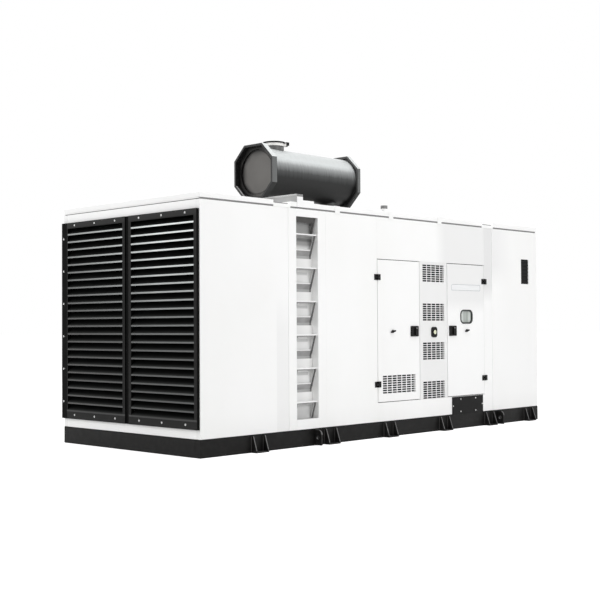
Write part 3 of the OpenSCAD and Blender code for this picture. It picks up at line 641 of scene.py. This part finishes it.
NODE_LOOKS = {
    "base": ("base_rails", "base_end_beams", "deck_plate"),
    "feet": ("anchor_feet", "lifting_lugs"),
    "cover": ("cable_entry_cover",),
    "louvre": ("front_louvres", "rear_louvres", "louvre_mullions"),
    "end_wall": ("end_wall_strips",),
    "wall": ("radiator_side_panels", "lifting_posts", "middle_side_panels", "door_headers", "door_sills",
             "control_side_panels", "door_1_leaf", "door_2_leaf", "far_doors"),
    "vents": ("vent_panels",),
    "steps": ("ladder_steps",),
    "pans": ("ladder_pans",),
    "curb": ("roof_curb",),
    "white": ("ladder_jambs", "roof_seam_strips"),
    "breather": ("roof_breather",),
    "roof": ("roof_panels",),
    "grille": ("control_panel_grilles",),
    "hardware": ("door_1_hinge_straps", "door_1_latch", "door_2_hinge_straps", "door_2_latch",
                 "hinge_brackets", "far_door_hardware"),
    "seal": ("window_frame",),
    "glass": ("window_glass",),
    "plate": ("name_plate",),
    "button": ("stop_button",),
    "muffler": ("muffler_drum", "muffler_inlet", "muffler_stands"),
    "muffler_frame": ("muffler_end_frames",),
    "end_plate": ("muffler_end_plates",),
    "outlet": ("muffler_outlet",),
    "flap": ("rain_cap",),
}
# Width of the rounded edges, by look
EDGES = {
    "base": 0.003, "feet": 0.0015, "cover": 0.0015, "louvre": 0.0015, "end_wall": 0.002, "wall": 0.0025,
    "vents": 0.0025, "white": 0.0025, "curb": 0.002, "breather": 0.002, "roof": 0.004, "hardware": 0.0015,
    "seal": 0.002, "plate": 0.0008, "button": 0.001, "muffler_frame": 0.002, "end_plate": 0.0015,
    "outlet": 0.001, "flap": 0.001,
}


def dress_nodes():
    """Gives each node its material and, where its look has one, a rounded edge."""
    for look, names in NODE_LOOKS.items():
        for name in names:
            node = NODES[name]
            node.data.materials.clear()
            node.data.materials.append(MATERIALS[look])
            if look in EDGES:
                round_edges(node, EDGES[look])


def round_edges(thing, width):
    """Rounds an object's sharp edges."""
    weld = thing.modifiers.new("weld", "WELD")
    weld.merge_threshold = 0.00002
    bevel = thing.modifiers.new("edges", "BEVEL")
    bevel.width = width
    bevel.segments = 2
    bevel.limit_method = "ANGLE"
    bevel.angle_limit = math.radians(35)
    bevel.harden_normals = True


# ------------------------------------------------------------------ shapes
def piece(name, mesh, look, body="root", width=0.0):
    """Makes an object from a bmesh, with its material and body, and rounds its edges if a width is given.
    """
    bmesh.ops.recalc_face_normals(mesh, faces=mesh.faces)
    thing = place_mesh(name, mesh, MATERIALS[look])
    if width:
        round_edges(thing, width)
    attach(thing, body)


def place_mesh(name, mesh, material):
    """Puts a bmesh into the scene as an object."""
    data = bpy.data.meshes.new(name)
    mesh.to_mesh(data)
    mesh.free()
    data.materials.append(material)
    thing = bpy.data.objects.new(name, data)
    bpy.context.scene.collection.objects.link(thing)
    return thing


def add_bar(mesh, low, high):
    """A box between two corners."""
    low, high = Vector(low), Vector(high)
    for vertex in bmesh.ops.create_cube(mesh, size=1.0)["verts"]:
        vertex.co = (low + high) / 2 + Vector(a * b for a, b in zip(vertex.co, high - low))


def add_turned(mesh, profile, centre, axis, steps=16):
    """Turns a profile of (radius, height) points about an axis from a centre."""
    turn = Vector((0, 0, 1)).rotation_difference(Vector(axis).normalized()).to_matrix()
    rings = []
    for radius, height in profile:
        angles = [2 * math.pi * i / steps for i in range(steps)] if radius else [0.0]
        points = [Vector((radius * math.cos(a), radius * math.sin(a), height)) for a in angles]
        rings.append([mesh.verts.new(turn @ point + Vector(centre)) for point in points])
    for lower, upper in zip(rings, rings[1:]):
        for i in range(steps):
            j = (i + 1) % steps
            if len(lower) == 1:
                corners = (lower[0], upper[i], upper[j])
            elif len(upper) == 1:
                corners = (lower[i], lower[j], upper[0])
            else:
                corners = (lower[i], lower[j], upper[j], upper[i])
            mesh.faces.new(corners).smooth = True


def add_swept(mesh, outline, start, end, place):
    """Sweeps a closed outline of (u, v) points between two values; place(u, v, t) gives the point."""
    rings = [[mesh.verts.new(place(u, v, t)) for u, v in outline] for t in (start, end)]
    count = len(outline)
    for i in range(count):
        j = (i + 1) % count
        mesh.faces.new((rings[0][i], rings[0][j], rings[1][j], rings[1][i]))
    mesh.faces.new(rings[0])
    mesh.faces.new(rings[1][::-1])


def along_x(u, v, t):
    """The point of an outline in YZ that is swept along X."""
    return Vector((t, u, v))


def arc(centre, radius, start, end, steps):
    """Points (u, v) along an arc, in degrees."""
    return [(centre[0] + radius * math.cos(math.radians(start + (end - start) * i / steps)),
             centre[1] + radius * math.sin(math.radians(start + (end - start) * i / steps)))
            for i in range(steps + 1)]


def pan_head(mesh, centre, axis, radius):
    """A pan-head screw seated on a face, with a hexagon socket."""
    socket, top, floor = radius * 0.45, radius * 0.58, radius * 0.1
    add_turned(mesh, ((radius, 0), (radius, radius * 0.25), (radius * 0.8, radius * 0.5), (socket, top)),
               centre, axis, 12)
    add_turned(mesh, ((socket, top), (socket, floor), (0, floor)), centre, axis, 6)


def flat_head(mesh, centre, axis):
    """A low flanged head that stands 0.4 mm proud of a face."""
    radius, socket, proud, depth = 0.0105, 0.0042, 0.0004, -0.002
    add_turned(mesh, ((radius, depth), (radius, -0.0001), (radius * 0.93, proud / 2), (socket, proud)),
               centre, axis)
    add_turned(mesh, ((socket, proud), (socket, depth), (0, depth)), centre, axis, 6)


def hex_bolt(mesh, centre, axis, radius):
    """A bolt head on its washer."""
    washer = radius * 0.25
    add_turned(mesh, ((radius * 1.6, 0), (radius * 1.6, washer), (radius, washer)), centre, axis, 20)
    add_turned(mesh, ((radius, washer), (radius, radius * 0.85), (radius * 0.85, radius), (0, radius)),
               centre, axis, 6)


# ------------------------------------------------------------------ pieces
def louvre_spans(node):
    """The two louvres of a node, as (low, high) along Y."""
    low, high = (corner.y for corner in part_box(node))
    width = (high - low - MULLION_W) / 2
    return ((low, low + width), (high - width, high))


def louvre_lips(name, node, sign):
    """A rolled edge along each blade's lip, on the louvre end (-1) or the control end (1)."""
    mesh = bmesh.new()
    face = sign * (LOUVRE_FACE - LIP_SETBACK)
    roll, out = 0.004, 0.0028
    rolled = arc((0.0, roll - LIP_H), roll, -90, -180, 4)[1:] + arc((0.0, -roll), roll, 180, 90, 4)[:-1]
    outline = [(0.0, 0.0), (0.0, -LIP_H)] + [(u * out / roll, v) for u, v in rolled]
    z = LOUVRES[0].z + BOTTOM_RAIL
    while z < LOUVRES[1].z - TOP_RAIL:
        for near, far in louvre_spans(node):
            add_swept(mesh, outline, near + STILE_W, far - STILE_W,
                      lambda u, v, t: Vector((face - sign * u, t, z + v)))
        z += BLADE_PITCH
    piece(name, mesh, "lip")


def louvre_screws(name, node, sign):
    """Screws in the louvres' frames, and down the dark strip beside them on the louvre end (-1)."""
    mesh = bmesh.new()
    low, high = LOUVRES
    places = [(near + share * (far - near), z)
              for near, far in louvre_spans(node)
              for share in (0.16, 0.5, 0.84)
              for z in (low.z + BOTTOM_RAIL * 0.47, high.z - TOP_RAIL * 0.5)]
    if sign < 0:
        first, pitch = 0.187, 0.3575
        places += [(high.y + CORNER_STRIP_W / 2, low.z + first + pitch * i) for i in range(6)]
    for y, z in places:
        flat_head(mesh, (sign * LOUVRE_FACE, y, z), (sign, 0, 0))
    piece(name, mesh, "screw_white")


def cover_screws():
    """Screws of the cable-entry cover."""
    low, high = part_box("cable_entry_cover")
    mesh = bmesh.new()
    for x, z in ((0.27, 0.86), (0.75, 0.86), (0.27, 0.16), (0.75, 0.16), (0.03, 0.5), (0.97, 0.5)):
        centre = (low.x + x * (high.x - low.x), low.y, low.z + z * (high.z - low.z))
        pan_head(mesh, centre, (0, -1, 0), 0.008)
    piece("cover_screws", mesh, "screw_white")


def name_plate_rim():
    """A raised line round the bare name plate, with round corners."""
    low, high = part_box("name_plate")
    mesh = bmesh.new()
    radius, line, rise, inset, ease = 0.018, 0.005, 0.0014, 0.006, 0.001
    cx, cz = (low.x + high.x) / 2, (low.z + high.z) / 2
    hx, hz = (high.x - low.x) / 2 - inset - radius, (high.z - low.z) / 2 - inset - radius

    def ring(shrink, y):
        points = []
        for sx, sz, start in ((1, 1, 0), (-1, 1, 90), (-1, -1, 180), (1, -1, 270)):
            points += arc((cx + sx * hx, cz + sz * hz), radius - shrink, start, start + 90, 6)
        return [mesh.verts.new((x, y, z)) for x, z in points]

    rings = [ring(0, low.y), ring(ease, low.y - rise), ring(line - ease, low.y - rise), ring(line, low.y)]
    for outer, inner in zip(rings, rings[1:]):
        for i in range(len(outer)):
            j = (i + 1) % len(outer)
            mesh.faces.new((outer[i], outer[j], inner[j], inner[i]))
    piece("name_plate_rim", mesh, "plate_rim", "door_2")


def roof_shadow_strips():
    """Grey strips in the groove under the roof, open at the notches over the lifting posts, with short pads
    at the notches' floors: painted shade where the groove and the notches' floors are in shadow.
    """
    mesh = bmesh.new()
    low, high = WALL_TOP + 0.0005, WALL_TOP + 0.0175
    pad = low + NOTCH_FLOOR
    neck, rim, end_rim, notch = 0.020, 0.005, 0.014, 0.126
    ends = [-HALF_L + neck]
    for middle in POST_MIDDLES:
        ends += [middle - notch, middle + notch]
    ends.append(HALF_L - neck)
    for side in (-1, 1):
        y = sorted((side * (HALF_W - neck), side * (HALF_W - rim)))
        for x0, x1 in zip(ends[::2], ends[1::2]):
            add_bar(mesh, (x0, y[0], low), (x1, y[1], high))
        for middle in POST_MIDDLES:
            add_bar(mesh, (middle - POST_HALF, y[0], pad), (middle + POST_HALF, y[1], pad + 0.009))
        x = sorted((side * (HALF_L - neck), side * (HALF_L - end_rim)))
        add_bar(mesh, (x[0], -HALF_W + rim, low), (x[1], HALF_W - rim, high))
    piece("roof_shadow_strips", mesh, "shadow_strip", width=0.001)


def roof_end_lips():
    """A folded lip under the roof's short edges, which leaves a thin groove."""
    mesh = bmesh.new()
    low, high = WALL_TOP + 0.0085, WALL_TOP + 0.018
    near_end, inset, width = 0.02, 0.0015, 0.018
    for side in (-1, 1):
        x = sorted((side * (HALF_L - inset - width), side * (HALF_L - inset)))
        add_bar(mesh, (x[0], -HALF_W + near_end, low), (x[1], HALF_W - inset, high))
    piece("roof_end_lips", mesh, "white", width=0.001)


def vent_baffles():
    """Folded black sheets behind the vent panels, which keep the light out of the canopy."""
    low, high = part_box("vent_panels")
    front, fold, sheet, pitch, gap = HALF_W - 0.064, 0.012, 0.002, 0.040, 0.004
    start, end = low.z + 0.06, high.z - 0.06
    count = int((end - start) / pitch)
    line = [(front - (fold if i % 2 else 0.0), start + i * pitch) for i in range(count + 1)]
    outline = line + [(y - sheet, z) for y, z in reversed(line)]
    mesh = bmesh.new()
    for side in (-1, 1):
        mirrored = [(side * y, z) for y, z in outline]
        add_swept(mesh, mirrored, low.x + gap, high.x - gap, along_x)
    piece("vent_baffles", mesh, "grille")


def ladder_heads():
    """The sloping frame that hangs from the ladder's header above the top tread, on both sides; its dark
    grey is painted shade.
    """
    top, bottom = WALL_TOP - 0.0815, STEPS[1].z + 0.002
    header, sheet = 0.058, 0.006
    left, right = STEPS[0].x + STEP_GAP, STEPS[1].x - STEP_GAP
    mesh = bmesh.new()
    for side in (-1, 1):
        for x0, x1, z0, z1 in ((left, right, top - header, top),
                               (left, left + STEP_POST, bottom, top - header),
                               (right - STEP_POST, right, bottom, top - header)):
            y0, y1 = (HALF_W - STEP_FRONT - (top - z) / STEP_SLOPE for z in (z0, z1))
            outline = ((side * y0, z0), (side * (y0 - sheet), z0),
                       (side * (y1 - sheet), z1), (side * y1, z1))
            add_swept(mesh, outline, x0, x1, along_x)
    piece("ladder_heads", mesh, "head")


def foot_welds():
    """Weld beads where the gussets of the feet meet the base rails."""
    low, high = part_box("anchor_feet")
    foot_half = 0.088
    first, last = low.x + foot_half, high.x - foot_half
    shares = (0, 0.217, 0.4175, 0.6275, 0.818, 1)       # the feet's middles, from the first to the last
    gusset_faces = (-0.0905, 0.0755, -0.0755, 0.0905)   # along X from a foot's middle
    bead = arc((0, 0), 0.0042, 0, 315, 7)
    mesh = bmesh.new()
    for side in (-1, 1):
        for share in shares:
            for edge in gusset_faces:
                x = first + share * (last - first) + edge
                outline = [(x + u, side * (HALF_W + 0.002) + v) for u, v in bead]
                add_swept(mesh, outline, 0.012, high.z - 0.004, lambda u, v, t: Vector((u, v, t)))
    piece("foot_welds", mesh, "weld")


def grille_bars():
    """Drip blades across the control end's air slots."""
    low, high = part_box("control_panel_grilles")
    count, rise, sheet, gap = 7, 0.012, 0.003, 0.001
    pitch = (high.z - low.z) / count
    mesh = bmesh.new()
    for side in (-1, 1):
        front, back = side * (HALF_W - 0.004), side * (HALF_W - 0.012)
        for i in range(count):
            z = low.z + pitch * (i + 0.5)
            outline = ((front, z - rise), (front, z - rise + sheet),
                       (back, z + rise), (back, z + rise - sheet))
            add_swept(mesh, outline, low.x + gap, high.x - gap, along_x)
    piece("grille_bars", mesh, "grille")


def drum_welds():
    """Weld beads where the drum meets its end plates, and along its seam."""
    mesh = bmesh.new()
    bead, inset, seam_inset = 0.005, 0.0065, 0.008
    for x in (DRUM[0].x + inset, DRUM[1].x - inset):
        ring_bead(mesh, x, DRUM_R, bead)
    seam = math.radians(118)
    y, z = -math.cos(seam) * DRUM_R, DRUM_Z + math.sin(seam) * DRUM_R
    outline = [(y + u, z + v) for u, v in arc((0, 0), bead * 0.8, 0, 330, 11)]
    add_swept(mesh, outline, DRUM[0].x + seam_inset, DRUM[1].x - seam_inset, along_x)
    piece("drum_welds", mesh, "muffler")


def ring_bead(mesh, x, radius, bead, steps=72, sides=8):
    """A weld bead round the drum's axis."""
    rings = []
    for i in range(steps):
        a = 2 * math.pi * i / steps
        ring = []
        for k in range(sides):
            b = 2 * math.pi * k / sides
            r = radius + bead * math.cos(b) * 0.8
            ring.append(mesh.verts.new((x + bead * math.sin(b), r * math.cos(a), DRUM_Z + r * math.sin(a))))
        rings.append(ring)
    for i in range(steps):
        a, b = rings[i], rings[(i + 1) % steps]
        for k in range(sides):
            m = (k + 1) % sides
            mesh.faces.new((a[k], a[m], b[m], b[k])).smooth = True


def muffler_bolts():
    """Bolts of the inlet's flange and of the stands' feet."""
    mesh = bmesh.new()
    up = (0, 0, 1)
    flange_top, stand_top = ROOF_TOP + 0.012, ROOF_TOP + 0.008
    low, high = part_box("muffler_inlet")
    cx, cy = (low.x + high.x) / 2, (low.y + high.y) / 2
    rim = 0.013                                         # the bolts' circle from the flange's edge
    circle = (high.x - low.x) / 2 - rim
    for i in range(8):
        angle = math.radians(22.5 + 45 * i)
        centre = (cx + circle * math.cos(angle), cy + circle * math.sin(angle), flange_top)
        hex_bolt(mesh, centre, up, 0.007)
    low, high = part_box("muffler_stands")
    for x in (low.x + 0.038, high.x - 0.025):
        for y in (low.y + 0.04, high.y - 0.04):
            hex_bolt(mesh, (x, y, stand_top), up, 0.009)
    piece("muffler_bolts", mesh, "zinc")


def latch_locks(door):
    """A lock cylinder with a key slot in the paddle latch of a door."""
    low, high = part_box(door + "_leaf")
    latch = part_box(door + "_latch")
    inset, aside, over = 0.098, 0.026, 0.036        # latch from the leaf's free edge, lock from the latch
    latch_x = high.x - inset if door == "door_1" else low.x + inset
    centre = (latch_x + aside, latch[0].y + 0.0045, (latch[0].z + latch[1].z) / 2 + over)
    radius, slot, rise = 0.0085, 0.003, 0.003
    mesh = bmesh.new()
    out = (0, -1, 0)
    add_turned(mesh, ((radius, -0.004), (radius, 0.002), (0.0072, rise), (slot, rise)), centre, out, 20)
    add_turned(mesh, ((slot, rise), (slot, 0.0005), (0, 0.0005)), centre, out, 4)
    piece(door + "_lock", mesh, "lock", door)


# ------------------------------------------------------------------ stage, light and camera
AMBIENT = 0.52
FLOOR_GLOW = 0.64


def seen(g):
    """1 on rays from the camera, off glossy surfaces and through glass; 0 on rays that light the part."""
    rays = g.put("LightPath", {}).outputs
    return g.larger(rays["Is Camera Ray"], g.larger(rays["Is Glossy Ray"], rays["Is Transmission Ray"]))


def stage():
    """A pale matt floor that looks white and still takes soft shadows."""
    mesh = bmesh.new()
    bmesh.ops.create_grid(mesh, x_segments=2, y_segments=2, size=150)
    g = Graph("studio_floor")
    matt = g.put("BsdfDiffuse", {"Color": socket_colour(tint(232))})
    strength = g.times(seen(g), FLOOR_GLOW)
    glow = g.put("Emission", {"Color": socket_colour((1, 1, 1)), "Strength": strength})
    both = g.put("AddShader", {0: matt.outputs[0], 1: glow.outputs[0]})
    g.put("OutputMaterial", {"Surface": both.outputs[0]})
    floor = place_mesh("floor", mesh, g.owner)


def world():
    """White surroundings, dimmer where they light the part than where they are seen."""
    surroundings = bpy.data.worlds.new("studio")
    bpy.context.scene.world = surroundings
    g = Graph("studio", surroundings)
    strength = g.span(seen(g), 0.0, 1.0, AMBIENT, 1.0)
    background = g.put("Background", {"Color": socket_colour((1, 1, 1)), "Strength": strength})
    g.put("OutputWorld", {"Surface": background.outputs[0]})


def softbox(name, place, target, size, power):
    """A rectangular lamp that points at a target."""
    lamp = bpy.data.lights.new(name, "AREA")
    lamp.shape = "RECTANGLE"
    lamp.size, lamp.size_y = size
    lamp.energy = power
    holder = bpy.data.objects.new(name, lamp)
    holder.location = place
    holder.rotation_euler = (Vector(target) - Vector(place)).to_track_quat("-Z", "Y").to_euler()
    bpy.context.scene.collection.objects.link(holder)


def lights():
    """Even light from above and from three sides."""
    softbox("top", (-0.5, 0, 9), (0, 0, 1.5), (11, 8), 560)
    softbox("door_side", (1.5, -12, 6), (0.5, 0, 1.2), (10, 6), 440)
    softbox("louvre_side", (-13, 2.0, 6), (-1, 0, 1.2), (8, 6), 440)
    softbox("back", (4, 13, 7), (0, 0, 1.2), (10, 6), 440)


CAMERA_PLACE = Vector((-10.0406, -9.3097, 1.2719))
CAMERA_YAW = math.radians(45.939)
CAMERA_PITCH = math.radians(1.358)
CAMERA_ROLL = math.radians(-0.326)


def camera():
    """The camera: yaw from +Y towards +X, then pitch and roll."""
    lens = bpy.data.cameras.new("camera")
    lens.sensor_width = 36
    lens.lens = 66.63
    lens.clip_end = 500
    eye = bpy.data.objects.new("camera", lens)
    bpy.context.scene.collection.objects.link(eye)
    cy, sy = math.cos(CAMERA_YAW), math.sin(CAMERA_YAW)
    cp, sp = math.cos(CAMERA_PITCH), math.sin(CAMERA_PITCH)
    cr, sr = math.cos(CAMERA_ROLL), math.sin(CAMERA_ROLL)
    forward = Vector((cp * sy, cp * cy, sp))
    level_right = Vector((cy, -sy, 0))
    level_up = level_right.cross(forward)
    right = cr * level_right + sr * level_up
    up = cr * level_up - sr * level_right
    turn = Matrix((right, up, -forward)).transposed()
    eye.matrix_world = Matrix.Translation(CAMERA_PLACE) @ turn.to_4x4()
    bpy.context.scene.camera = eye


# ------------------------------------------------------------------ making the scene
dress_nodes()
louvre_lips("front_louvre_lips", "front_louvres", -1)
louvre_lips("rear_louvre_lips", "rear_louvres", 1)
louvre_screws("front_louvre_screws", "front_louvres", -1)
louvre_screws("rear_louvre_screws", "rear_louvres", 1)
cover_screws()
name_plate_rim()
roof_shadow_strips()
roof_end_lips()
vent_baffles()
ladder_heads()
foot_welds()
grille_bars()
drum_welds()
muffler_bolts()
latch_locks("door_1")
latch_locks("door_2")
stage()
world()
lights()
camera()
bpy.context.scene.view_settings.view_transform = "Standard"
